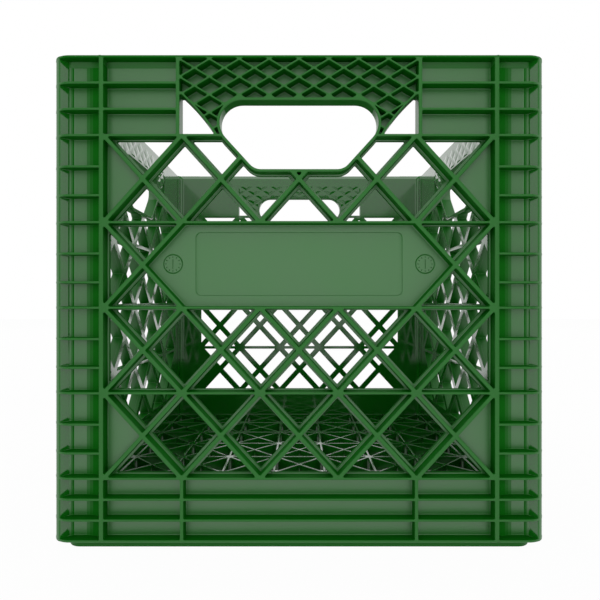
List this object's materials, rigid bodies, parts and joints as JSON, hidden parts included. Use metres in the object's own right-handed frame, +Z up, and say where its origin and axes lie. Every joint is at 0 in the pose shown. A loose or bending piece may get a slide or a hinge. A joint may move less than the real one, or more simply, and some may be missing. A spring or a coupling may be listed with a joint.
{
  "type": "storage crate",
  "caption": "Square stacking crate of moulded plastic with ribbed corner posts, open lattice walls, a hand hole in each wall, an open grid floor and a stacking foot.",
  "frame": {"origin": "on the ground under the middle of the crate", "axes": "+Z up, -Y out of the front wall, +X to the right as seen from the front"},
  "size_m": [0.34, 0.34, 0.3377],
  "materials": {
    "hdpe_green": "injection-moulded green HDPE, smooth satin gloss"
  },
  "bodies": {
    "root": {"back_base_band": "hdpe_green", "back_handle_grip": "hdpe_green", "back_label_band": "hdpe_green", "back_left_post": "hdpe_green", "back_lower_lattice": "hdpe_green", "back_middle_lattice": "hdpe_green", "back_right_post": "hdpe_green", "back_upper_left_lattice": "hdpe_green", "back_upper_left_panel": "hdpe_green", "back_upper_right_lattice": "hdpe_green", "back_upper_right_panel": "hdpe_green", "floor_grid": "hdpe_green", "front_base_band": "hdpe_green", "front_handle_grip": "hdpe_green", "front_label_band": "hdpe_green", "front_left_post": "hdpe_green", "front_lower_lattice": "hdpe_green", "front_middle_lattice": "hdpe_green", "front_right_post": "hdpe_green", "front_upper_left_lattice": "hdpe_green", "front_upper_left_panel": "hdpe_green", "front_upper_right_lattice": "hdpe_green", "front_upper_right_panel": "hdpe_green", "left_base_band": "hdpe_green", "left_centre_lattice": "hdpe_green", "left_handle_grip": "hdpe_green", "left_lower_lattice": "hdpe_green", "left_middle_lattice": "hdpe_green", "left_upper_left_lattice": "hdpe_green", "left_upper_left_panel": "hdpe_green", "left_upper_right_lattice": "hdpe_green", "left_upper_right_panel": "hdpe_green", "right_base_band": "hdpe_green", "right_centre_lattice": "hdpe_green", "right_handle_grip": "hdpe_green", "right_lower_lattice": "hdpe_green", "right_middle_lattice": "hdpe_green", "right_upper_left_lattice": "hdpe_green", "right_upper_left_panel": "hdpe_green", "right_upper_right_lattice": "hdpe_green", "right_upper_right_panel": "hdpe_green", "stacking_foot": "hdpe_green"}
  },
  "joints": []
}
